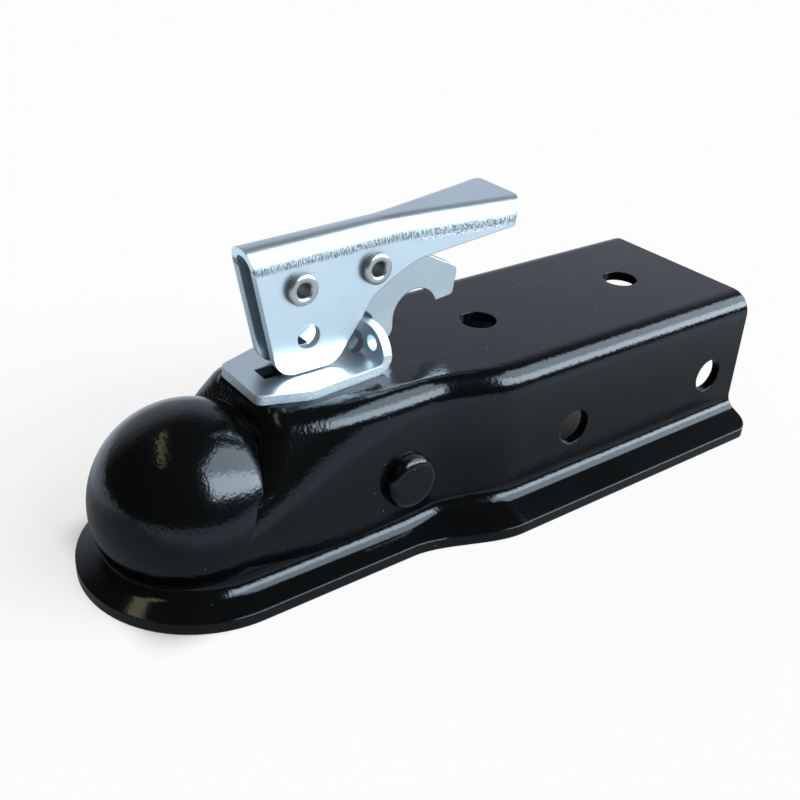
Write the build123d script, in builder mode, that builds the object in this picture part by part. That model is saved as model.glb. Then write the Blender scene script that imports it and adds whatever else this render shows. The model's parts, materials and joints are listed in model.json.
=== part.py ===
"""Trailer coupling head for a tow ball: a pressed steel shell with a lever latch on top.

The origin is the centre of the tow ball, +X points forward to the towing vehicle, +Y to the left and +Z up.
All sizes are in millimetres.
"""

import os
from math import cos, radians, sin, tan

from build123d import *

os.makedirs("parts", exist_ok=True)

# Pressed shell
ball_d = 50.8  # tow ball
ball_room = 1.0  # room between ball and socket
sheet = 3.2  # thickness of the shell
tongue_w = 64.0  # trailer tongue that the channel takes
body_back = 202.8  # ball centre back to the end of the channel
roof_height = 31.06  # ball centre up to the top of the roof
skirt_drop = 20.5  # ball centre down to the bottom of the skirt
skirt_droop = 23.0  # fall of the skirt towards its edge, degrees
knee_r = 5.0  # bend between wall and skirt, outside
nose_back = 2.8  # centre of the round nose, behind the ball centre
neck_w = 57.2  # width of the neck at the bottom of its walls
neck_skirt_w = 74.0  # width of the skirt beside the neck
channel_skirt_w = 93.2  # width of the skirt beside the channel
skirt_corner_r = 5.5  # rear corners of the skirt
throat_back = 54.5  # ball centre back to where the skirt starts to widen
skirt_widening = 36.0  # length of the skirt's widening
wall_lag = 9.0  # the walls start to widen this far behind the skirt
wall_widening = 31.6  # length of the walls' widening
channel_edge_r = 7.7  # top edges of the channel
throat_edge_r = 6.6  # top edges at the back of the neck
throat_flat = 26.0  # flat roof there
throat_lean = 18.0  # lean of the neck's wall there, degrees
ridge_edge_r = 4.5  # top edges at the front of the neck
ridge_flat = 21.0  # flat roof there
ridge_lean = 27.0  # lean of the neck's wall there, degrees
ridge_foot_back = 9.0  # foot of the ridge's front slope, behind the ball centre
ridge_foot_height = 13.6  # foot of the ridge's front slope, above the ball centre
ridge_rake = 27.9  # rake of the ridge's front slope, degrees
ridge_corner_r = 4.4  # edges round the ridge's front slope
lean_reach = 12.0  # how far the leaning wall runs straight
wall_top = 6.0  # the walls are upright below this height ...
wall_foot = -4.0  # ... and down to this one

# Bolt holes
bolt_hole_d = 12.4
top_hole_back = 105.4  # ball centre back to the first hole of the pair in the roof
side_hole_back = 119.9  # ball centre back to the first hole of the pair in each side
hole_pitch = 67.1  # from the first hole to the second
side_hole_height = 3.4

# Handle
handle_t = 2.5
handle_gap = 0.6  # handle's foot above the latch plate
handle_h = 39.64  # handle's foot up to its crown, at the handle rivet
crown_slope = 1.55  # rise of the crown towards the grip, degrees
crown_r = 5.9  # bend between crown and walls, outside
pivot_back = 33.4  # ball centre back to the handle rivet
pivot_drop = 13.4  # crown down to the handle rivet
foot_ahead = 7.5  # handle rivet forward to the front edge, at the foot
handle_front_rake = 11.4  # lean of the front edge, degrees
foot_behind = 11.9  # handle rivet back to the rear of the foot
handle_foot_r = 7.2  # front corner of the foot, which rolls on the latch plate
handle_heel_r = 7.0  # rear corner of the foot
knee_behind = 13.0  # rear of the foot back to the bend in the handle's underside
knee_rise = 18.44  # foot up to that bend
handle_knee_r = 9.0
shoulder_behind = 14.2  # that bend back to the next, where the grip starts
shoulder_depth = 13.4  # crown down to it
shoulder_r = 14.0
grip_l = 36.0  # length of the grip
grip_depth = 7.2  # depth of the grip at its end
grip_w = 28.2  # width of the grip at its end
grip_end_r = 4.6  # lower corner of the grip's end
grip_corner_r = 7.5  # corners of the grip's end, seen from above
flare_ahead = 9.2  # start of the grip forward to where the walls start to flare
flare_bend = 1.1  # 1 for a straight flare, more for one that opens later
lock_hole_d = 7.5
lock_behind = 2.6  # handle rivet back to the lock hole
lock_rise = 10.74  # foot up to the lock hole

# Latch plate and its tab
plate_t = 3.0
plate_front_back = 16.2  # ball centre back to the plate's front edge
plate_nose_w = 21.6
plate_wide_back = 31.0  # ball centre back to the plate's widest place
plate_w = 32.2
plate_nose_r = 3.0
plate_side_r = 10.0
tab_behind = 11.7  # rear of the handle's foot back to the tab's front face
tab_w = 27.8
tab_rise = 9.84  # tab above the plate
tab_corner_r = 8.5
tab_bend_r = 2.0
tab_slot_room = 0.6  # trigger's toe to the sides of the tab's slot
tab_slot_r = 1.8
tab_slot_rise = 5.44
tab_hole_d = 5.0
tab_hole_gap = 15.2  # distance between the tab's two holes
tab_hole_rise = 4.7
strap_slot_ahead = 10.2  # handle rivet forward to the end of the strap's slot
strap_slot_behind = 10.8  # and back to its other end

# Rivets
rivet_d = 7.0
rivet_bore = 4.4
rivet_head_d = 9.6
rivet_head_t = 2.2
rivet_roll_r = 1.1  # roll of the rivet's head
rivet_room = 0.05  # radial room in the handle's holes
pivot_room = 0.08  # radial room of what turns on a pin

# Trigger
trigger_t = 5.0
trigger_behind = 1.4  # tab's front face back to the trigger rivet
trigger_drop = 13.1  # crown down to the trigger rivet
trigger_eye_r = 7.6
toe_bite = 1.2  # how far the toe stands in the tab's slot
toe_t = 3.2
toe_room = 1.3  # toe below the top of the tab's slot
tab_room = 0.6  # trigger behind the tab
finger_r = 8.4  # recess for the finger
finger_behind = 16.6  # rear of the tab back to the middle of the finger recess
finger_rise = 6.4  # underside of the toe up to the middle of the finger recess
finger_wrap = 161.0  # angle that the recess runs round the finger, degrees
trigger_root_r = 4.0  # rounds of the trigger's outline
trigger_back_r = 12.0
trigger_small_r = 0.8
hook_reach = 15.8  # middle of the finger recess back to the outside of the hook
hook_rise = 12.4  # and up to the hook's outer bend
hook_tip_rise = 3.4  # and up to the hook's tip
hook_tip_t = 1.3  # how far the tip stands in from the outer bend
hook_r = 2.6  # outer bend
hook_tip_r = 1.6
back_reach = 4.8  # middle of the finger recess back to the rear end of the trigger's back
back_rise = 18.2  # and up to that end

# Trigger spring
spring_wire = 0.8
spring_room = 0.19  # wire to trigger and to handle wall
spring_r = 4.6  # middle of the wire round the rivet
spring_leg = 8.0
spring_open = 60.0  # angle between the two ends of the turn, degrees

# Strap, clamp and cross pin
strap_t = 5.5
strap_room = 0.45  # strap to the sides of the slots that it passes
strap_w = 8.4
strap_eye_r = 7.2
strap_foot_r = 8.0
clamp_pin_d = 7.0
clamp_pin_height = 8.0
strap_play = 0.9  # radial play of the clamp pin in the strap's lower eye
clamp_w = 24.0
clamp_gap = 0.35  # clamp to ball
clamp_slot_room = 5.0  # room for the strap's foot along the clamp's slot
clamp_top = 15.5
clamp_lip_drop = 18.3
clamp_lip_back = 15.0
clamp_eye_reach = 9.5  # cross pin out to the edges of the clamp's eye
clamp_eye_r = 8.5
clamp_top_r = 20.0
clamp_nose_r = 3.0
clamp_lip_r = 1.0
clamp_belly_r = 8.0
cross_pin_d = 9.5
cross_pin_head_d = 17.6
cross_pin_head_t = 3.9
cross_pin_behind = 23.5  # handle rivet back to the cross pin
cross_pin_height = 2.2
cross_pin_room = 0.15
head_gap = 0.2  # pin head to wall
cross_pin_edge_r = 2.6
spacer_d = 13.0
spacer_gap = 0.3  # sleeve to clamp
spacer_room = 3.0  # sleeve to wall

# Derived places
socket_r = ball_d / 2 + ball_room
dome_r = socket_r + sheet
channel_w = tongue_w + 2 * sheet
floor_z = -skirt_drop
droop = tan(radians(skirt_droop))
edge_z = floor_z + sheet / cos(radians(skirt_droop))
plate_top = roof_height + plate_t
foot_z = plate_top + handle_gap
wall_gap = trigger_t / 2 + spring_wire + 2 * spring_room
handle_w = 2 * (wall_gap + handle_t)
foot_back = pivot_back + foot_behind
tab_back = foot_back + tab_behind
trigger_back = tab_back + trigger_behind
knee_back = foot_back + knee_behind
shoulder_back = knee_back + shoulder_behind
grip_back = shoulder_back + grip_l
cross_pin_back = pivot_back + cross_pin_behind
strap_slot_w = strap_t + 2 * strap_room
strap_slot_l = strap_slot_ahead + strap_slot_behind
lock_back = pivot_back + lock_behind
lock_height = foot_z + lock_rise
slope = tan(radians(crown_slope))
crown_z = foot_z + handle_h - pivot_back * slope
pivot_height = crown_z + pivot_back * slope - pivot_drop
trigger_height = crown_z + trigger_back * slope - trigger_drop
side_plane = Plane.XZ


# Shell
def ease(back, start, length):
    """Share of a smooth widening that is done at a place, from 0 to 1."""
    share = min(max((back - start) / length, 0), 1)
    return share * share * (3 - 2 * share)


def skirt_line(start, wall_half, skirt_half, inset):
    """Wall, bend and skirt of one side, from a start on the wall down past the edge and in to the centre."""
    flare = radians(90 - skirt_droop)
    wall = wall_half - inset
    knee_z = edge_z + (skirt_half - wall_half) * droop - inset * tan(flare / 2)
    reach = skirt_half + 2 * sheet + inset
    below = floor_z - 2 * sheet - inset
    FilletPolyline(
        start,
        (wall, knee_z),
        (reach, knee_z - (reach - wall) * droop),
        (reach, below),
        (0, below),
        radius=[knee_r + inset, 0, 0],
    )


def section(back, inset, width, skirt_w, flat, edge_r, lean):
    """Cross-section of the shell, outside for inset 0 and inside for the sheet's thickness."""
    wall = width / 2 - inset
    roof = roof_height - inset
    with BuildSketch(Plane.YZ.offset(-back)) as outline:
        with BuildLine():
            top = Line((0, roof), (flat / 2, roof))
            edge = JernArc(top @ 1, (1, 0), edge_r - inset, lean - 90)
            side = Bezier(edge @ 1, edge @ 1 + (edge % 1) * lean_reach, (wall, wall_top), (wall, wall_foot))
            skirt_line(side @ 1, width / 2, skirt_w / 2, inset)
            mirror(about=Plane.YZ)
        make_face()
    return outline.sketch


def widening(back, inset):
    """Cross-section on the way from the neck to the channel."""
    wall = ease(back, throat_back + wall_lag, wall_widening)
    skirt = ease(back, throat_back, skirt_widening)
    channel_flat = channel_w - 2 * channel_edge_r
    return section(
        back,
        inset,
        neck_w + (channel_w - neck_w) * wall,
        neck_skirt_w + (channel_skirt_w - neck_skirt_w) * skirt,
        throat_flat + (channel_flat - throat_flat) * wall,
        throat_edge_r + (channel_edge_r - throat_edge_r) * wall,
        throat_lean * (1 - wall),
    )


mouth_back = throat_back + max(skirt_widening, wall_lag + wall_widening)
stations = [throat_back + (mouth_back - throat_back) * step / 8 for step in range(9)]


def shell_body(inset):
    """Filled shell: ridge and neck, widening, channel, dome and round nose."""
    ridge = section(nose_back, inset, neck_w, neck_skirt_w, ridge_flat, ridge_edge_r, ridge_lean)
    spread = [widening(back, inset) for back in stations]
    rake = radians(ridge_rake)
    slope_foot = -ridge_foot_back - inset / cos(rake) + ridge_foot_height * tan(rake)
    slope_top = roof_height + sheet
    slope_plane = Plane(origin=(slope_foot, 0, 0), x_dir=(0, 1, 0), z_dir=(cos(rake), 0, sin(rake)))
    with BuildPart() as body:
        loft([ridge, spread[0]], ruled=True)
        with BuildSketch(Plane.XZ):
            with BuildLine():
                Polyline(
                    (slope_foot, 0),
                    (slope_foot - slope_top * tan(rake), slope_top),
                    (dome_r, slope_top),
                    (dome_r, 0),
                    close=True,
                )
            make_face()
        extrude(amount=neck_w, both=True, mode=Mode.SUBTRACT)
        brow = body.faces().filter_by(slope_plane).sort_by(Axis.Z)[-1]
        fillet(brow.edges().sort_by(Axis.Z)[1:], ridge_corner_r - inset)
        loft(spread)
        extrude(spread[-1], amount=body_back - mouth_back + inset, dir=(-1, 0, 0))
        Sphere(dome_r - inset)
        with BuildSketch(Plane.YZ.offset(-nose_back)):
            with BuildLine():
                start = Line((0, 0), (neck_w / 2 - inset, 0))
                skirt_line(start @ 1, neck_w / 2, neck_skirt_w / 2, inset)
                Line((0, floor_z - 2 * sheet - inset), (0, 0))
            make_face()
        revolve(axis=Axis((-nose_back, 0, 0), (0, 0, -1)), revolution_arc=180)
    return body.part


outside = shell_body(0)
inside = shell_body(sheet)

with BuildPart() as housing:
    add(outside)
    with BuildSketch(Plane.XY.offset(floor_z - sheet)):
        with BuildLine():
            half = channel_skirt_w / 2
            nose = CenterArc((-nose_back, 0), neck_skirt_w / 2, 0, 90)
            side = Line(nose @ 1, (-throat_back, neck_skirt_w / 2))
            swell = Bezier(
                side @ 1,
                (-throat_back - skirt_widening / 3, neck_skirt_w / 2),
                (-throat_back - 2 * skirt_widening / 3, half),
                (-throat_back - skirt_widening, half),
            )
            FilletPolyline(swell @ 1, (-body_back, half), (-body_back, 0), radius=skirt_corner_r)
            mirror(about=Plane.XZ)
        make_face()
    extrude(amount=sheet + skirt_drop + roof_height, mode=Mode.INTERSECT)
    add(inside, mode=Mode.SUBTRACT)
    with BuildSketch(Plane.XY.offset(roof_height - 2 * sheet)):
        with Locations((-top_hole_back, 0), (-top_hole_back - hole_pitch, 0)):
            Circle(bolt_hole_d / 2)
        with Locations((-pivot_back + strap_slot_ahead, 0)):
            Rectangle(strap_slot_l, strap_slot_w, align=(Align.MAX, Align.CENTER))
    extrude(amount=4 * sheet, mode=Mode.SUBTRACT)
    with BuildSketch(side_plane):
        with Locations((-side_hole_back, side_hole_height), (-side_hole_back - hole_pitch, side_hole_height)):
            Circle(bolt_hole_d / 2)
        with Locations((-cross_pin_back, cross_pin_height)):
            Circle(cross_pin_d / 2 + cross_pin_room)
    extrude(amount=channel_w, both=True, mode=Mode.SUBTRACT)
housing.part.label = "housing"
export_step(housing.part, "parts/housing.step")

# Latch plate with its upright tab
with BuildPart() as latch_plate:
    with BuildSketch(side_plane):
        with BuildLine():
            FilletPolyline(
                (-plate_front_back, roof_height),
                (-plate_front_back, plate_top),
                (-tab_back, plate_top),
                (-tab_back, plate_top + tab_rise),
                (-tab_back - plate_t, plate_top + tab_rise),
                (-tab_back - plate_t, roof_height),
                close=True,
                radius=[0, 0, tab_bend_r, 0, 0, tab_bend_r + plate_t],
            )
        make_face()
    extrude(amount=plate_w, both=True)
    with BuildSketch(Plane.XY.offset(roof_height)):
        with BuildLine():
            FilletPolyline(
                (-plate_front_back, 0),
                (-plate_front_back, plate_nose_w / 2),
                (-plate_wide_back, plate_w / 2),
                (-tab_back, tab_w / 2),
                (-tab_back - 2 * plate_t, tab_w / 2),
                (-tab_back - 2 * plate_t, 0),
                radius=[plate_nose_r, plate_side_r, 0, 0],
            )
            mirror(about=Plane.XZ)
        make_face()
    extrude(amount=plate_t + tab_rise, mode=Mode.INTERSECT)
    with BuildSketch(Plane.YZ.offset(-tab_back - 2 * plate_t)):
        with Locations((0, plate_top)):
            Rectangle(2 * plate_w, 2 * plate_t)
        with Locations((0, plate_top + tab_rise)):
            RectangleRounded(tab_w, 2 * tab_rise, tab_corner_r, align=(Align.CENTER, Align.MAX))
    extrude(amount=tab_back, mode=Mode.INTERSECT)
    with BuildSketch(Plane.XY.offset(roof_height)):
        with Locations((-pivot_back + strap_slot_ahead, 0)):
            Rectangle(strap_slot_l, strap_slot_w, align=(Align.MAX, Align.CENTER))
    extrude(amount=plate_t, mode=Mode.SUBTRACT)
    with BuildSketch(Plane.YZ.offset(-tab_back - 2 * plate_t)):
        with Locations((0, plate_top + tab_slot_rise)):
            slot_w = trigger_t + 2 * tab_slot_room
            RectangleRounded(slot_w, 2 * tab_slot_rise, tab_slot_r, align=(Align.CENTER, Align.MAX))
        hole_z = plate_top + tab_hole_rise
        with Locations((-tab_hole_gap / 2, hole_z), (tab_hole_gap / 2, hole_z)):
            Circle(tab_hole_d / 2)
    extrude(amount=3 * plate_t, mode=Mode.SUBTRACT)
latch_plate.part.label = "latch_plate"
export_step(latch_plate.part, "parts/latch_plate.step")


# Handle: a channel bent from sheet, whose walls flare into the grip
tilt = radians(crown_slope)
crown_plane = Plane(origin=(0, 0, crown_z), x_dir=(0, 1, 0), z_dir=(cos(tilt), 0, -sin(tilt)))
flare_back = shoulder_back - flare_ahead


def lever_body(inset):
    """Filled channel of the handle, outside for inset 0 and inside for the sheet's thickness."""
    sections = []
    for step in range(6):
        share = step / 5
        half = handle_w / 2 + (grip_w - handle_w) / 2 * share**flare_bend - inset
        along = flare_back + (grip_back - flare_back) * share + inset * step
        with BuildSketch(crown_plane.offset(-along)) as outline:
            with BuildLine():
                FilletPolyline(
                    (0, -inset),
                    (half, -inset),
                    (half, -2 * handle_h),
                    (0, -2 * handle_h),
                    radius=[crown_r - inset, 0],
                )
                mirror(about=Plane.YZ)
            make_face()
        sections.append(outline.sketch)
    with BuildPart() as body:
        extrude(sections[0], amount=flare_back, dir=crown_plane.z_dir)
        loft(sections)
    return body.part


lever_outside = lever_body(0)
lever_inside = lever_body(handle_t)
high = crown_z + handle_h
front_lean = tan(radians(handle_front_rake))

with BuildPart() as handle:
    add(lever_outside)
    add(lever_inside, mode=Mode.SUBTRACT)
    with BuildSketch(side_plane):
        with BuildLine():
            FilletPolyline(
                (-grip_back, high),
                (-pivot_back + foot_ahead + (high - foot_z) * front_lean, high),
                (-pivot_back + foot_ahead, foot_z),
                (-foot_back, foot_z),
                (-knee_back, foot_z + knee_rise),
                (-shoulder_back, crown_z + shoulder_back * slope - shoulder_depth),
                (-grip_back, crown_z + grip_back * slope - grip_depth),
                close=True,
                radius=[0, 0, handle_foot_r, handle_heel_r, handle_knee_r, shoulder_r, grip_end_r],
            )
        make_face()
    extrude(amount=grip_w, both=True, mode=Mode.INTERSECT)
    with BuildSketch(Plane.XY.offset(foot_z)):
        with BuildLine():
            FilletPolyline((0, grip_w / 2), (-grip_back, grip_w / 2), (-grip_back, 0), radius=grip_corner_r)
            mirror(about=Plane.XZ)
            Line((0, -grip_w / 2), (0, grip_w / 2))
        make_face()
    extrude(amount=2 * handle_h, mode=Mode.INTERSECT)
    with BuildSketch(side_plane):
        with Locations((-pivot_back, pivot_height), (-trigger_back, trigger_height)):
            Circle(rivet_d / 2 + rivet_room)
        with Locations((-lock_back, lock_height)):
            Circle(lock_hole_d / 2)
    extrude(amount=handle_w, both=True, mode=Mode.SUBTRACT)
handle.part.label = "handle"
export_step(handle.part, "parts/handle.step")


# Tubular rivets, with a rolled head on each side of the handle
def rivet(back, height):
    """Rivet across the handle at the given place."""
    reach = handle_w / 2 + rivet_head_t
    with BuildPart() as body:
        with BuildSketch(Plane.XY):
            with BuildLine():
                FilletPolyline(
                    (rivet_bore / 2, 0),
                    (rivet_bore / 2, reach),
                    (rivet_head_d / 2, reach),
                    (rivet_head_d / 2, handle_w / 2),
                    (rivet_d / 2, handle_w / 2),
                    (rivet_d / 2, 0),
                    radius=[rivet_roll_r, rivet_roll_r, 0, 0],
                )
                mirror(about=Plane.XZ)
            make_face()
        revolve(axis=Axis.Y)
    return Pos(-back, 0, height) * body.part


with BuildPart() as handle_rivet:
    add(rivet(pivot_back, pivot_height))
handle_rivet.part.label = "handle_rivet"
export_step(handle_rivet.part, "parts/handle_rivet.step")

with BuildPart() as trigger_rivet:
    add(rivet(trigger_back, trigger_height))
trigger_rivet.part.label = "trigger_rivet"
export_step(trigger_rivet.part, "parts/trigger_rivet.step")

# Trigger: eye on the rivet, toe in the tab's slot and hook for the finger
toe_top = plate_top + tab_slot_rise - toe_room
tab_rear = -tab_back - plate_t
finger_x = tab_rear - finger_behind
finger_z = toe_top - toe_t + finger_rise
hook_x = finger_x - hook_reach
with BuildPart() as trigger:
    with BuildSketch(side_plane):
        with BuildLine():
            recess = CenterArc((finger_x, finger_z), finger_r, 0, finger_wrap)
            FilletPolyline(
                recess @ 0,
                (finger_x + finger_r, toe_top - toe_t),
                (tab_rear + toe_bite, toe_top - toe_t),
                (tab_rear + toe_bite, toe_top),
                (tab_rear - tab_room, toe_top),
                (tab_rear - tab_room, plate_top + tab_rise + tab_room),
                (-trigger_back + trigger_eye_r, trigger_height - trigger_eye_r),
                (-trigger_back + trigger_eye_r, trigger_height + trigger_eye_r),
                (-trigger_back - trigger_eye_r, trigger_height + trigger_eye_r),
                (finger_x - back_reach, finger_z + back_rise),
                (hook_x, finger_z + hook_rise),
                (hook_x + hook_tip_t, finger_z + hook_tip_rise),
                recess @ 1,
                radius=[
                    trigger_root_r,
                    trigger_small_r,
                    trigger_small_r,
                    trigger_small_r / 2,
                    trigger_root_r / 2,
                    trigger_root_r,
                    trigger_eye_r,
                    trigger_eye_r,
                    trigger_back_r,
                    hook_r,
                    hook_tip_r,
                ],
            )
        make_face()
    extrude(amount=trigger_t / 2, both=True)
    with BuildSketch(side_plane):
        with Locations((-trigger_back, trigger_height)):
            Circle(rivet_d / 2 + pivot_room)
    extrude(amount=trigger_t, both=True, mode=Mode.SUBTRACT)
trigger.part.label = "trigger"
export_step(trigger.part, "parts/trigger.step")

# Return spring of the trigger: one turn round its rivet, in the gap between trigger and handle wall
with BuildPart() as trigger_spring:
    with BuildLine(side_plane.offset(-(trigger_t / 2 + wall_gap) / 2)):
        turn = CenterArc((-trigger_back, trigger_height), spring_r, spring_open, 360 - spring_open)
        PolarLine(turn @ 1, spring_leg, direction=turn % 1)
        foot = PolarLine(turn @ 0, -spring_leg, direction=turn % 0)
    with BuildSketch(Plane(origin=foot @ 1, z_dir=foot % 1)):
        Circle(spring_wire / 2)
    sweep()
trigger_spring.part.label = "trigger_spring"
export_step(trigger_spring.part, "parts/trigger_spring.step")

# Clamp strap: flat bar from the handle rivet down to the clamp pin
with BuildPart() as clamp_strap:
    with BuildSketch(side_plane):
        with Locations((-pivot_back, pivot_height)):
            Circle(strap_eye_r)
        with Locations((-pivot_back, clamp_pin_height)):
            Circle(strap_foot_r)
            Rectangle(strap_w, pivot_height - clamp_pin_height, align=(Align.CENTER, Align.MIN))
        with Locations((-pivot_back, pivot_height)):
            Circle(rivet_d / 2 + pivot_room, mode=Mode.SUBTRACT)
        with Locations((-pivot_back, clamp_pin_height)):
            Circle(clamp_pin_d / 2 + strap_play, mode=Mode.SUBTRACT)
        with Locations((-lock_back, lock_height)):
            Circle(lock_hole_d / 2, mode=Mode.SUBTRACT)
    extrude(amount=strap_t / 2, both=True)
clamp_strap.part.label = "clamp_strap"
export_step(clamp_strap.part, "parts/clamp_strap.step")

# Ball clamp: lever on the cross pin with a hollow jaw behind and below the ball
clamp_ball_r = ball_d / 2 + clamp_gap
with BuildPart() as ball_clamp:
    with BuildSketch(side_plane):
        with BuildLine():
            FilletPolyline(
                (-cross_pin_back - clamp_eye_reach, cross_pin_height + clamp_eye_reach),
                (-pivot_back, clamp_top),
                (-ball_d / 2, clamp_top),
                (-clamp_lip_back, -clamp_lip_drop),
                (-ball_d / 2, -clamp_lip_drop),
                (-cross_pin_back - clamp_eye_reach, cross_pin_height - clamp_eye_reach),
                close=True,
                radius=[clamp_eye_r, clamp_top_r, clamp_nose_r, clamp_lip_r, clamp_belly_r, clamp_eye_r],
            )
        make_face()
    extrude(amount=clamp_w / 2, both=True)
    Sphere(clamp_ball_r, mode=Mode.SUBTRACT)
    with BuildSketch(side_plane):
        with Locations((-cross_pin_back, cross_pin_height)):
            Circle(cross_pin_d / 2 + pivot_room)
        with Locations((-pivot_back, clamp_pin_height)):
            Circle(clamp_pin_d / 2 + rivet_room)
    extrude(amount=clamp_w, both=True, mode=Mode.SUBTRACT)
    with BuildSketch(Plane.XY.offset(-skirt_drop)):
        with Locations((-pivot_back, 0)):
            Rectangle(2 * strap_foot_r + clamp_slot_room, strap_slot_w)
    extrude(amount=skirt_drop + roof_height, mode=Mode.SUBTRACT)
ball_clamp.part.label = "ball_clamp"
export_step(ball_clamp.part, "parts/ball_clamp.step")

with BuildPart() as clamp_pin:
    with BuildSketch(side_plane):
        with Locations((-pivot_back, clamp_pin_height)):
            Circle(clamp_pin_d / 2)
    extrude(amount=clamp_w / 2, both=True)
clamp_pin.part.label = "clamp_pin"
export_step(clamp_pin.part, "parts/clamp_pin.step")

# Cross pin with a head on each side of the neck, and the sleeves that centre the clamp on it
head_seat = neck_w / 2 + head_gap
with BuildPart() as cross_pin:
    with BuildSketch(side_plane):
        with Locations((-cross_pin_back, cross_pin_height)):
            Circle(cross_pin_d / 2)
    extrude(amount=head_seat, both=True)
    for side in (1, -1):
        with BuildSketch(side_plane.offset(side * head_seat)):
            with Locations((-cross_pin_back, cross_pin_height)):
                Circle(cross_pin_head_d / 2)
        extrude(amount=side * cross_pin_head_t)
    rims = cross_pin.edges().filter_by(GeomType.CIRCLE).group_by(Axis.Y)
    fillet(rims[0] + rims[-1], cross_pin_edge_r)
cross_pin.part.label = "cross_pin"
export_step(cross_pin.part, "parts/cross_pin.step")

spacer_l = neck_w / 2 - sheet - clamp_w / 2 - spacer_gap - spacer_room
with BuildPart() as pin_spacers:
    for side in (1, -1):
        with BuildSketch(side_plane.offset(side * (clamp_w / 2 + spacer_gap))):
            with Locations((-cross_pin_back, cross_pin_height)):
                Circle(spacer_d / 2)
                Circle(cross_pin_d / 2 + pivot_room, mode=Mode.SUBTRACT)
        extrude(amount=side * spacer_l)
pin_spacers.part.label = "pin_spacers"
export_step(pin_spacers.part, "parts/pin_spacers.step")
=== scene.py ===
import json
import bpy
import numpy as np
from mathutils import Matrix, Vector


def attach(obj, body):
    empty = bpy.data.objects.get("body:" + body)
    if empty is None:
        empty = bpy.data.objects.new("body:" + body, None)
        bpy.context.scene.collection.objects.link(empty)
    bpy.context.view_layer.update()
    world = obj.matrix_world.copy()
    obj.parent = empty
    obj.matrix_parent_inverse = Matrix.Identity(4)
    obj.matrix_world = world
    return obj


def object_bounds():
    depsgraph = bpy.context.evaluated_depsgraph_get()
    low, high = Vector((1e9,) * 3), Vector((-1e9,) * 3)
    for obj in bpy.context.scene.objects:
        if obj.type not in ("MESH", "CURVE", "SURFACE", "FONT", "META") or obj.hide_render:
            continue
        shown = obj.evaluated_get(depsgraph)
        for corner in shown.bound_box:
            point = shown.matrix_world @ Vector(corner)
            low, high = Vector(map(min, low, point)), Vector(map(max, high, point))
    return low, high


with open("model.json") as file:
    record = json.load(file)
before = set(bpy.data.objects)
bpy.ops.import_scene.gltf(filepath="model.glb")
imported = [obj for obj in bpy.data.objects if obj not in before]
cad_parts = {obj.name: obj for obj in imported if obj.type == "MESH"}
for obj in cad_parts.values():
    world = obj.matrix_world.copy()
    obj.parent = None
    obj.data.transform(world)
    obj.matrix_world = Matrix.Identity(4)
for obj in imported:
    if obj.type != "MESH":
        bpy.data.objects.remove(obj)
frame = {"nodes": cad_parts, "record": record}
cadLow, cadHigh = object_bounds()
nodes = frame["nodes"]
print("frame loaded:", len(nodes), "nodes")


# shader maths: a socket that takes + - * with other sockets or numbers
class Tone:
    def __init__(self, tree, socket=None):
        self.tree = tree
        self.socket = socket

    def node(self, kind, settings=None, inputs=None, out=0):
        made = self.tree.nodes.new(kind)
        for key, value in (settings or {}).items():
            setattr(made, key, value)
        for key, value in (inputs or {}).items():
            socket = made.inputs[key]
            if isinstance(value, Tone):
                self.tree.links.new(value.socket, socket)
            else:
                socket.default_value = value
        return Tone(self.tree, made.outputs[out] if made.outputs else None)

    def math(self, operation, first, second=0.0):
        return self.node("ShaderNodeMath", {"operation": operation}, {0: first, 1: second})

    def vector(self, operation, second=(0, 0, 0), out="Vector"):
        return self.node("ShaderNodeVectorMath", {"operation": operation}, {0: self, 1: second}, out)

    def __add__(self, other):
        return self.math("ADD", self, other)

    __radd__ = __add__

    def __sub__(self, other):
        return self.math("SUBTRACT", self, other)

    def __rsub__(self, other):
        return self.math("SUBTRACT", other, self)

    def __mul__(self, other):
        return self.math("MULTIPLY", self, other)

    __rmul__ = __mul__

    def size(self):
        return self.math("ABSOLUTE", self)

    def most(self, other):
        return self.math("MAXIMUM", self, other)

    def step(self, low, high):  # 0 below low, 1 above high, smooth between
        return self.node("ShaderNodeMapRange", {"interpolation_type": "SMOOTHSTEP"},
                         {"Value": self, "From Min": low, "From Max": high})

    def band(self, low, high, soft):  # 1 between low and high, with soft ends
        return self.step(low - soft, low + soft) * (1 - self.step(high - soft, high + soft))

    def part(self, axis):  # one part of a vector: 0 for x, 1 for y, 2 for z
        return self.node("ShaderNodeSeparateXYZ", None, {0: self}, axis)

    def along(self, line):  # how far a vector goes along a line
        return self.vector("DOT_PRODUCT", line, "Value")

    def stretch(self, scale, turn=(0, 0, 0)):
        return self.node("ShaderNodeMapping", None, {"Vector": self, "Scale": scale, "Rotation": turn})

    def noise(self, scale, detail=2.0, rough=0.5):
        return self.node("ShaderNodeTexNoise", None,
                         {"Vector": self, "Scale": scale, "Detail": detail, "Roughness": rough})

    def mix(self, mask, first, second):  # colour mix by a mask
        return self.node("ShaderNodeMix", {"data_type": "RGBA"}, {0: mask, 6: first, 7: second}, 2)

    def rim(self, radius):  # normal with the sharp edges rounded
        return self.node("ShaderNodeBevel", {"samples": 6}, {"Radius": radius})

    def bump(self, height, distance, **more):
        return self.node("ShaderNodeBump", None, {"Strength": 1.0, "Distance": distance, "Height": height, **more})

    def specks(self, scale, radius, share):  # small dots, one in a share of the cells that the surface meets
        far = self.node("ShaderNodeTexVoronoi", None, {"Vector": self, "Scale": scale}, "Distance")
        pick = self.node("ShaderNodeTexVoronoi", None, {"Vector": self, "Scale": scale}, "Color").part(0)
        return (1 - far.step(radius * 0.6, radius)) * (1 - pick.step(share - 0.01, share + 0.01))

    def ray(self, kind):  # 1 for one kind of light ray
        return self.node("ShaderNodeLightPath", out="Is " + kind + " Ray")


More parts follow.
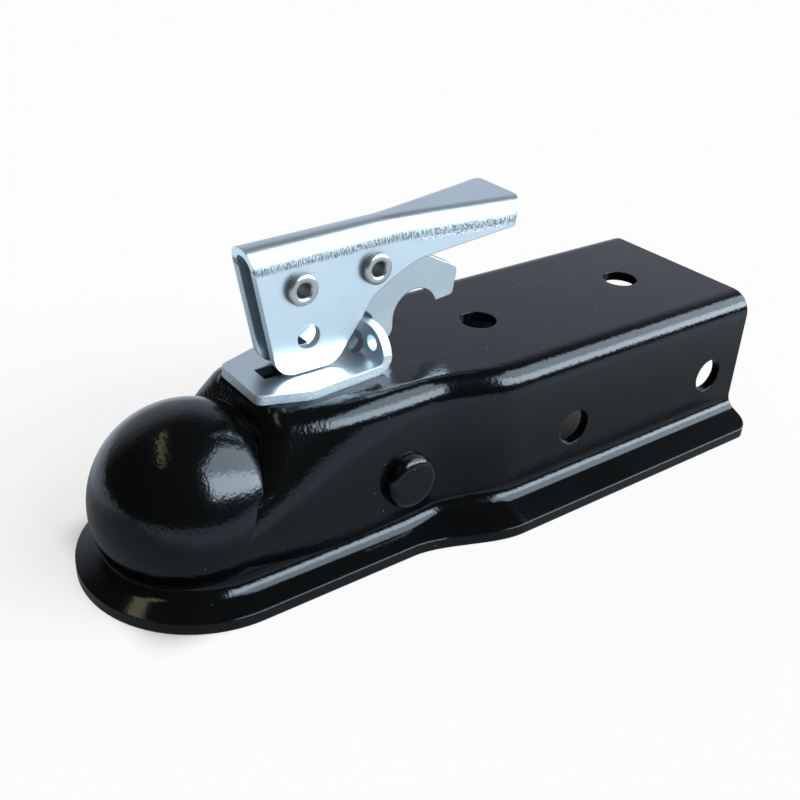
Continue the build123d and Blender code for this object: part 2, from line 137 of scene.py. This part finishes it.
def newFinish(name):
    finish = bpy.data.materials.new(name)
    finish.use_nodes = True
    finish.node_tree.nodes.clear()
    tool = Tone(finish.node_tree)
    return finish, tool, tool.node("ShaderNodeTexCoord", out="Object")


def closeFinish(tool, inputs):
    shader = tool.node("ShaderNodeBsdfPrincipled", None, inputs)
    tool.node("ShaderNodeOutputMaterial", None, {"Surface": shader})


# black powder coat: semi-gloss, orange peel that runs down the walls, and a few grains of dust
coatLook = {
    "colour": (0.0024, 0.0028, 0.0030, 1), "gloss": (0.82, 0.93, 1.0, 1), "ior": 1.42,
    "rough": 0.12, "patch": (30.0, 3.0), "patchRough": 0.05,
    "rim": 0.0007,  # round of the sheared edges
    "peelDepth": 2.6e-5, "peelMiddle": 1.9,
    "peel": ((1000.0, 1.5), (2600.0, 0.5), (300.0, 1.3)),  # scale and weight of each noise
    "run": (1300.0, 0.5), "runStretch": (1.0, 1.0, 0.2),  # the same of a noise drawn out down the walls
    "skirtTop": (-0.0120, -0.0088), "skirtUp": (0.76, 0.90), "skirtCalm": 0.8, "skirtGloss": 0.48,
    "bend": (-0.0905, -0.0668, 0.004), "bendSide": (0.15, 0.5), "tilt": 0.17,
    "dust": (0.30, 0.31, 0.31, 1), "dustSpecks": (240.0, 0.045, 0.5), "dustRough": 0.4, "dustHeight": 2.0,
}


def powderCoat():
    look = coatLook
    finish, tool, place = newFinish("blackPowderCoat")
    facing = tool.node("ShaderNodeTexCoord", out="Normal")
    skirt = (1 - place.part(2).step(*look["skirtTop"])) * facing.part(2).step(*look["skirtUp"])
    scale, weight = look["run"]
    skin = place.stretch(look["runStretch"]).noise(scale, 0.0) * weight - look["peelMiddle"]
    for scale, weight in look["peel"]:
        skin = skin + place.noise(scale, 0.0) * weight
    skin = skin * (1 - skirt * look["skirtCalm"])  # the skirt is smoother than the walls
    bend = place.part(0).band(*look["bend"]) * facing.part(1).size().step(*look["bendSide"])
    ahead = tool.node("ShaderNodeCombineXYZ", None, {0: bend * look["tilt"]})  # the walls' bend mirrors tighter
    normal = tool.rim(look["rim"]).vector("ADD", ahead).vector("NORMALIZE")
    dust = place.specks(*look["dustSpecks"])
    rough = look["rough"] * (1 - skirt * look["skirtGloss"]) + place.noise(*look["patch"]) * look["patchRough"]
    closeFinish(tool, {
        "Base Color": tool.mix(dust, look["colour"], look["dust"]),
        "Roughness": rough + dust * look["dustRough"],
        "IOR": look["ior"],
        "Specular Tint": look["gloss"],
        "Normal": tool.bump(skin + dust * look["dustHeight"], look["peelDepth"], Normal=normal),
    })
    return finish


# bright zinc plating on rolled sheet, with a cold tint; the marks of each piece come from its own function, and their
# dark colour is used for wear, and on the handle and rivets also for painted dark reflection and painted shade
zincLook = {
    "colour": (0.76, 0.88, 0.95, 1), "trigger": (0.60, 0.69, 0.74, 1), "rivet": (0.50, 0.52, 0.51, 1),
    "dull": (0.50, 0.58, 0.62, 1), "wearAndShade": (0.10, 0.11, 0.12, 1),
    "rough": 0.29, "cloudRough": 0.08, "fineRough": 0.05, "wearAndShadeRough": 0.25, "cutRough": 0.18,
    "rim": 0.0005, "depth": 5.0e-5,
    "cloud": (55.0, 4.0, 0.6), "cloudDull": (0.45, 0.8), "cloudShare": 0.22, "cloudHeight": 1.2,
    "fine": (1100.0, 3.0, 0.6), "fineHeight": 0.14,
    "rolled": (1700.0, 2.0, 0.6), "rolledStretch": (0.1, 1.0, 1.0), "rolledHeight": 0.10,
    "stain": (330.0, 2.0), "stainStep": (0.70, 0.78), "stainShare": 0.35,
    "grit": (2300.0, 2.0, 0.7), "gritStep": (0.36, 0.60), "gritShare": 0.75, "gritHeight": 1.5,
    "edge": (0.25, 0.6),  # how far a face turns away from the sheet before it is a sheared edge
}


def zincPlate(name, marks, colour):
    look = zincLook
    finish, tool, place = newFinish(name)
    facing = tool.node("ShaderNodeTexCoord", out="Normal")
    cloud = place.noise(*look["cloud"])
    fine = place.noise(*look["fine"])
    rolled = place.stretch(look["rolledStretch"]).noise(*look["rolled"])
    stain = place.noise(*look["stain"]).step(*look["stainStep"])
    wearAndShade, cut, height = marks(tool, place, facing)
    grit = place.noise(*look["grit"]).step(*look["gritStep"])
    dull = cloud.step(*look["cloudDull"]) * look["cloudShare"] + stain * look["stainShare"]
    tint = tool.mix(dull, colour, look["dull"])
    tint = tool.mix(cut * (1 - grit) * look["gritShare"], tint, look["dull"])
    rough = look["rough"] + cloud * look["cloudRough"] + fine * look["fineRough"]
    skin = cloud * look["cloudHeight"] + fine * look["fineHeight"] + rolled * look["rolledHeight"]
    skin = skin + cut * grit * look["gritHeight"] + height
    closeFinish(tool, {
        "Base Color": tool.mix(wearAndShade, tint, look["wearAndShade"]),
        "Metallic": 1.0,
        "Roughness": rough + wearAndShade * look["wearAndShadeRough"] + cut * look["cutRough"],
        "Normal": tool.bump(skin, look["depth"], Normal=tool.rim(look["rim"])),
    })
    return finish


def sheared(facing, axis):  # 1 on the cut edges of a sheet that faces along an axis
    return 1 - facing.part(axis).size().step(*zincLook["edge"])


# handle: draw marks under the bend of the crown with a painted dark reflection in their band, scuffs on the grip,
# dished rivet seats, sheared edges
handleMarks = {
    "crown": 0.073396, "slope": 0.02706,  # depths are measured down from the crown's line
    "ragged": (900.0, 2.0), "raggedReach": 0.0011,
    # the band below the crown's bend: its streaks and dent are draw marks, its dark colour is a painted dark
    # reflection
    "drawMarkAndReflection": (0.0044, 0.0067, 0.0005), "drawHeight": 0.8,
    "stroke": (3400.0, 2.0, 0.7), "strokeStretch": (1.0, 0.15, 0.22), "strokeTurn": (0, 0.5, 0),
    "strokeStep": (0.40, 0.56),
    "scuff": (-0.101, -0.074, 0.006), "scuffDepth": (0.0043, 0.0078, 0.0009), "scuffHeight": 1.2,
    "rub": (1900.0, 3.0, 0.75), "rubStretch": (0.5, 0.3, 1.0), "rubTurn": (0, 0.7, 0), "rubStep": (0.50, 0.60),
    "seats": ((-0.0334, 0.0, 0.0609), (-0.0584, 0.0, 0.0619)), "dish": (0.0046, 0.0072), "dishHeight": 2.4,
    "smudge": (700.0, 3.0, 0.7), "smudgeStep": (0.70, 0.74), "smudgePlace": (110.0, 1.0),
    "smudgePlaceStep": (0.56, 0.66),
    "cutDepth": (0.0066, 0.0074),
    "wearAndShadeShares": (0.85, 0.5),  # of draw marks with their painted dark reflection and of scuffs, and of smudges
}


def fromSeats(place, near, far):  # 0 at the rivets' axes, 1 away from both
    flat = place.vector("MULTIPLY", (1, 0, 1))
    first, second = [flat.vector("DISTANCE", seat, "Value").step(near, far) for seat in handleMarks["seats"]]
    return first * second


def markHandle(tool, place, facing):
    look = handleMarks
    depth = look["crown"] - place.part(2) - place.part(0) * look["slope"]
    ragged = depth + (place.noise(*look["ragged"]) - 0.5) * look["raggedReach"]
    stroke = place.stretch(look["strokeStretch"], look["strokeTurn"]).noise(*look["stroke"])
    drawMarkAndReflection = ragged.band(*look["drawMarkAndReflection"]) * stroke.step(*look["strokeStep"])
    scuff = ragged.band(*look["scuffDepth"]) * place.part(0).band(*look["scuff"])
    rub = place.stretch(look["rubStretch"], look["rubTurn"]).noise(*look["rub"]).step(*look["rubStep"]) * scuff
    seat = fromSeats(place, *look["dish"])
    smudge = place.noise(*look["smudge"]).step(*look["smudgeStep"])
    smudge = smudge * place.noise(*look["smudgePlace"]).step(*look["smudgePlaceStep"])
    marked, smudged = look["wearAndShadeShares"]
    wearAndShade = drawMarkAndReflection.most(rub) * marked + smudge * smudged
    height = seat * look["dishHeight"] - drawMarkAndReflection * look["drawHeight"] - rub * look["scuffHeight"]
    return wearAndShade, sheared(facing, 1) * depth.step(*look["cutDepth"]), height


# latch plate, trigger and rivets: a few worn spots, and painted shade on the sides of the rivet heads at their feet
spotMarks = {
    "share": 0.4,
    "plate": (900.0, 3.0, 0.7), "plateStretch": (1.0, 0.3, 1.0), "plateStep": (0.66, 0.74),
    "tab": (-0.0566, -0.0560),  # behind this the plate is bent up
    "trigger": (800.0, 3.0, 0.7), "triggerStep": (0.70, 0.76),
    "rivet": (1500.0, 2.0), "rivetStep": (0.70, 0.78), "rivetHeight": 0.3,
    # painted shade on the rivet heads' sides: which faces, how far from the axes, and how strong
    "foot": (0.10, 0.45), "footReach": (0.0032, 0.0036), "footShare": 0.9,
}


def markPlate(tool, place, facing):
    look = spotMarks
    tab = 1 - place.part(0).step(*look["tab"])
    cut = tool.mix(tab, sheared(facing, 2), sheared(facing, 0))
    cut = cut.node("ShaderNodeRGBToBW", None, {0: cut})
    wearAndShade = place.stretch(look["plateStretch"]).noise(*look["plate"]).step(*look["plateStep"]) * look["share"]
    return wearAndShade, cut, 0.0


def markTrigger(tool, place, facing):
    look = spotMarks
    return place.noise(*look["trigger"]).step(*look["triggerStep"]) * look["share"], sheared(facing, 1), 0.0


def markRivet(tool, place, facing):
    look = spotMarks
    spot = place.noise(*look["rivet"])
    # painted shade: the sides of the rivet heads are darkened, not the bores
    foot = (1 - facing.part(1).size().step(*look["foot"])) * fromSeats(place, *look["footReach"])  # not in the bores
    return spot.step(*look["rivetStep"]) * look["share"] + foot * look["footShare"], 0.0, spot * look["rivetHeight"]


# dark forged steel of the ball clamp, scaled and lightly oiled
forgeLook = {
    "colour": (0.055, 0.055, 0.058, 1), "scaled": (0.11, 0.10, 0.095, 1), "metallic": 0.6,
    "scale": (140.0, 5.0, 0.65), "scaleStep": (0.4, 0.7), "pit": (700.0, 2.0), "pitHeight": 0.4, "depth": 1.4e-4,
    "rough": 0.42, "scaleRough": 0.2,
}


def forgedSteel():
    look = forgeLook
    finish, tool, place = newFinish("forgedSteel")
    scale = place.noise(*look["scale"])
    pit = place.noise(*look["pit"])
    closeFinish(tool, {
        "Base Color": tool.mix(scale.step(*look["scaleStep"]), look["colour"], look["scaled"]),
        "Metallic": look["metallic"],
        "Roughness": look["rough"] + scale * look["scaleRough"],
        "Normal": tool.bump(scale + pit * look["pitHeight"], look["depth"]),
    })
    return finish


# plain bright steel of the spring, sleeves and inner pin
steelLook = {
    "colour": (0.50, 0.51, 0.53, 1), "dull": (0.30, 0.30, 0.31, 1),
    "cloud": (120.0, 3.0), "cloudStep": (0.45, 0.75),
    "rough": 0.26, "turned": (1400.0, 2.0), "turnedStretch": (1.0, 0.1, 1.0), "turnedRough": 0.15,
}


def plainSteel():
    look = steelLook
    finish, tool, place = newFinish("plainSteel")
    turned = place.stretch(look["turnedStretch"]).noise(*look["turned"])
    cloud = place.noise(*look["cloud"])
    closeFinish(tool, {
        "Base Color": tool.mix(cloud.step(*look["cloudStep"]), look["colour"], look["dull"]),
        "Metallic": 1.0,
        "Roughness": look["rough"] + turned * look["turnedRough"],
    })
    return finish


slotFinish = {
    "black_powder_coat": powderCoat(),
    "zinc_plate": zincPlate("zincRivet", markRivet, zincLook["rivet"]),
    "forged_steel": forgedSteel(),
    "spring_steel": plainSteel(),
}
ownFinish = {
    "handle": zincPlate("zincHandle", markHandle, zincLook["colour"]),
    "latch_plate": zincPlate("zincLatchPlate", markPlate, zincLook["colour"]),
    "trigger": zincPlate("zincTrigger", markTrigger, zincLook["trigger"]),
}
for part in frame["record"]["subparts"]:
    solid = nodes[part["node"]]
    solid.data.materials.clear()
    solid.data.materials.append(ownFinish.get(part["node"], slotFinish[part["material_slot"]]))
print("finishes set:", len(slotFinish) + len(ownFinish))


def gridMesh(name, points, flip=False):  # four-sided faces over a grid of points
    index = np.arange(points[..., 0].size).reshape(points.shape[:2])
    quads = np.stack([index[:-1, :-1], index[1:, :-1], index[1:, 1:], index[:-1, 1:]], -1).reshape(-1, 4)
    mesh = bpy.data.meshes.new(name)
    mesh.from_pydata(points.reshape(-1, 3).tolist(), [], (quads[:, ::-1] if flip else quads).tolist())
    made = bpy.data.objects.new(name, mesh)
    bpy.context.scene.collection.objects.link(made)
    return made


# neck shoulders: a sloping flat from the roof down to a rounded shoulder line that climbs from the dome to the throat
neck = {
    "roof": 0.03106, "low": -0.010, "round": 0.0044,
    "front": -0.0028, "throat": -0.0545, "lag": 0.0090, "widening": 0.0316,
    "wallHalf": (0.02955, 0.0286, 0.0352),  # at the front, at the throat, at the channel
    "belly": 16.9,
    "edge": (0.0045, 0.0066, 0.0077), "shoulder": (0.0046, 0.0066, 0.0077),  # rounds above and below the flat
    "facet": (0.300, 0.741, 0.600), "facetPoint": (-0.0250, 0.0269, 0.0220),
    "easing": (-0.030, 0.026, 0.18),
    "slopeFoot": -0.0018, "slopeLow": 0.0125, "slopeFade": 1.5, "rake": 0.48695,
    "turn": (0.20, 1.64), "turnCount": 150,  # of the rays, from upright to just below level
    "stops": ((0.0005, 0.0225, 120), (0.0230, 0.0960, 150)),  # cross-sections: from, to and how many
    "reach": 0.07, "halvings": 32,
    "proud": (0.00005, 0.00012), "proudTurn": (0.5, 1.0), "tuck": -0.00008,
    "fade": (0.14, 0.013, 0.006),  # widths of the tucked borders: top, rear and front
}


def fromThree(x, values):  # straight from front to throat, then a smooth step to the channel
    early = np.clip((neck["front"] - x) / (neck["front"] - neck["throat"]), 0, 1)
    late = np.clip((neck["throat"] - neck["lag"] - x) / neck["widening"], 0, 1)
    late = late * late * (3 - 2 * late)
    return values[0] + (values[1] - values[0]) * early + (values[2] - values[1]) * late


def meet(first, second, radius):  # two depths below a surface, joined by a round of a radius
    arc = np.hypot(np.maximum(first + radius, 0), np.maximum(second + radius, 0))
    return np.minimum(np.maximum(first, second), -radius) + arc


def neckDepth(x, y, z):  # depth below the roof, the sloping flat, the wall and the front slope of the neck
    half = fromThree(x, neck["wallHalf"])
    belly = neck["belly"] * fromThree(x, (1, 0, 0)) ** 3  # the wall bulges like the dome, upright at the throat
    wall = (y - half + belly * z * z) / np.hypot(1, 2 * belly * z)
    outY = y - np.maximum(half - neck["wallHalf"][0], 0)
    flat = sum(way * (at - middle) for way, at, middle in zip(neck["facet"], (x, outY, z), neck["facetPoint"]))
    begin, length, ease = neck["easing"]  # the shoulder line climbs less and less towards the throat
    share = np.clip((begin - x) / length, 0, 1)
    flat = flat + ease * (length * (share**3 - share**4 / 2) + np.maximum(begin - length - x, 0))
    slope = (x - neck["slopeFoot"]) * np.cos(neck["rake"]) + z * np.sin(neck["rake"])
    slope = slope - neck["slopeFade"] * np.maximum(neck["slopeLow"] - z, 0)  # none below its foot on the dome
    top = meet(z - neck["roof"], flat, fromThree(x, neck["edge"]))
    side = meet(top, wall, fromThree(x, neck["shoulder"]))
    return meet(side, slope, neck["round"])


def neckSkin(name, hand):  # rays in each cross-section, from a point low on its middle out to where the depth is 0
    along = -np.concatenate([np.linspace(*stop) for stop in neck["stops"]])
    first, last = neck["turn"]
    x, turn = np.meshgrid(along, np.linspace(first, last, neck["turnCount"]), indexing="ij")
    low, high = np.zeros_like(x), np.full_like(x, neck["reach"])
    for halving in range(neck["halvings"]):
        reach = (low + high) / 2
        inside = neckDepth(x, reach * np.sin(turn), neck["low"] + reach * np.cos(turn)) < 0
        low, high = np.where(inside, reach, low), np.where(inside, high, reach)
    proud = np.interp(turn, neck["proudTurn"], neck["proud"])
    fadeTop, fadeRear, fadeFront = neck["fade"]
    border = np.minimum(np.minimum((turn - first) / fadeTop, (x - along[-1]) / fadeRear), -x / fadeFront)
    border = np.clip(border, 0, 1)
    reach = high + neck["tuck"] + (proud - neck["tuck"]) * border * border * (3 - 2 * border)
    points = np.stack([x, hand * reach * np.sin(turn), neck["low"] + reach * np.cos(turn)], -1)
    skin = gridMesh(name, points, hand > 0)
    skin.data.polygons.foreach_set("use_smooth", np.ones(len(skin.data.polygons), dtype=bool))
    skin.data.materials.append(slotFinish["black_powder_coat"])
    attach(skin, "shell")
    return skin


skins = [neckSkin("neckShoulderLeft", 1), neckSkin("neckShoulderRight", -1)]
print("neck shoulders made:", len(skins))

# studio: pale floor, one big window behind on the left, a pale wall on the far side, a warm tube overhead
studio = {
    "floorHalf": 6.0, "floorCount": 9, "floorGap": 0.0002,
    "floorTone": (0.225, 0.21, 0.195, 1), "floorGlow": 0.748,
    "floorMirror": (0.80, 0.95, 1.10, 1), "floorGloss": (0.20, 0.72), "mirroredShadeReach": (0.055, 0.125),
    "shadowUnderLong": (-0.190, 0.024, 0.010), "shadowUnderWide": (-0.030, 0.030, 0.008),  # painted shadow: no glow below the shell
    "white": (1, 1, 1, 1), "dark": (0.050, 0.050, 0.046, 1),
    "wall": (0.54, 0.57, 0.65, 1), "wallSide": (-0.62, -0.78, 0.0), "wallEdge": (0.25, 0.75), "wallTop": (0.46, 0.84),
    "window": (3.6, 4.0, 4.4, 1), "windowLow": (8.2, 9.0, 9.6, 1), "windowGloss": 0.4, "windowSoft": 0.025,
    "windowEdges": (  # planes through the middle, each with an inset
        (-1.0, 0.0, 0.0, 0.03), (0.0, 1.0, 0.0, 0.08), (-0.15, -0.47, 0.87, 0.0),
        (0.0, 0.0, 1.0, 0.15), (-0.58, 0.715, -0.39, 0.0),
    ),
    "windowSash": (0.127, 0.795, -0.595, 0.0), "sashSoft": 0.02,
    "tube": (2.6, 2.2, 1.3, 1), "tubeSoft": 0.02,
    "tubeEdges": (
        (-0.85, 0.52, 0.55, 0.0), (0.85, -0.52, -0.43, 0.0), (0.52, 0.85, 0.50, 0.0), (-0.52, -0.85, 0.30, 0.0),
    ),
}

line = np.linspace(-studio["floorHalf"], studio["floorHalf"], studio["floorCount"])
x, y = np.meshgrid(line, line, indexing="ij")
floor = gridMesh("floor", np.stack([x, y, np.full_like(x, cadLow[2] - studio["floorGap"])], -1))
paper, tool, place = newFinish("palePaper")
far = place.part(1).size().step(*studio["mirroredShadeReach"])
near, more = studio["floorGloss"]  # painted shade in the mirror: the paper near the part mirrors darker in it than the paper further off
seen = tool.ray("Camera").most(tool.ray("Glossy") * (near + far * more)).most(tool.ray("Transmission"))
# painted shadow below the shell: the paper's glow is taken away over the shell's footprint
shadowUnderShell = place.part(0).band(*studio["shadowUnderLong"]) * place.part(1).band(*studio["shadowUnderWide"])
shade = tool.mix(tool.ray("Glossy"), studio["white"], studio["floorMirror"])
glow = seen * (1 - shadowUnderShell) * studio["floorGlow"]
glow = tool.node("ShaderNodeEmission", None, {"Color": shade, "Strength": glow})
matt = tool.node("ShaderNodeBsdfDiffuse", None, {"Color": studio["floorTone"]})
both = tool.node("ShaderNodeAddShader", None, {0: matt, 1: glow})
tool.node("ShaderNodeOutputMaterial", None, {"Surface": both})
floor.data.materials.append(paper)

world = bpy.data.worlds.new("studioWorld")
world.use_nodes = True
bpy.context.scene.world = world
world.node_tree.nodes.clear()
tool = Tone(world.node_tree)
direction = tool.node("ShaderNodeTexCoord", out="Generated")


def panel(edges, soft):  # 1 inside all the planes through the middle that bound a bright panel
    mask = 1.0
    for x, y, z, inset in edges:
        mask = mask * direction.along((x, y, z)).step(inset - soft, inset + soft)
    return mask


wall = direction.along(studio["wallSide"]).step(*studio["wallEdge"])
wall = wall * (1 - direction.part(2).step(*studio["wallTop"]))
light = tool.mix(wall, studio["dark"], studio["wall"])
light = tool.mix(panel(studio["tubeEdges"], studio["tubeSoft"]), light, studio["tube"])
pane = panel(studio["windowEdges"], studio["windowSoft"])
glass = tool.mix(panel([studio["windowSash"]], studio["sashSoft"]), studio["window"], studio["windowLow"])
light = tool.mix(pane, light, glass)
seen = tool.ray("Camera").most(tool.ray("Transmission"))  # the backdrop is white to the eye only
gain = 1 + tool.ray("Glossy") * studio["windowGloss"] * pane  # the window is stronger in the mirror
sky = {"Color": tool.mix(seen, light, studio["white"]), "Strength": gain}
tool.node("ShaderNodeOutputWorld", None, {"Surface": tool.node("ShaderNodeBackground", None, sky)})

eye = {
    "place": (0.10773, 0.23440, 0.18117),
    "right": (-0.80458, 0.59200, 0.04676),
    "up": (-0.26364, -0.42664, 0.86514),
    "back": (0.53211, 0.68375, 0.49934),
    "lens": 47.67, "sensor": 36.0, "nearest": 0.01,
}
cameraData = bpy.data.cameras.new("photoCamera")
cameraData.lens = eye["lens"]
cameraData.sensor_width = eye["sensor"]
cameraData.clip_start = eye["nearest"]
photoCamera = bpy.data.objects.new("photoCamera", cameraData)
turn = Matrix((eye["right"], eye["up"], eye["back"])).transposed()
photoCamera.matrix_world = Matrix.Translation(eye["place"]) @ turn.to_4x4()
bpy.context.scene.collection.objects.link(photoCamera)
bpy.context.scene.camera = photoCamera
bpy.context.scene.view_settings.view_transform = "Standard"
print("studio set")
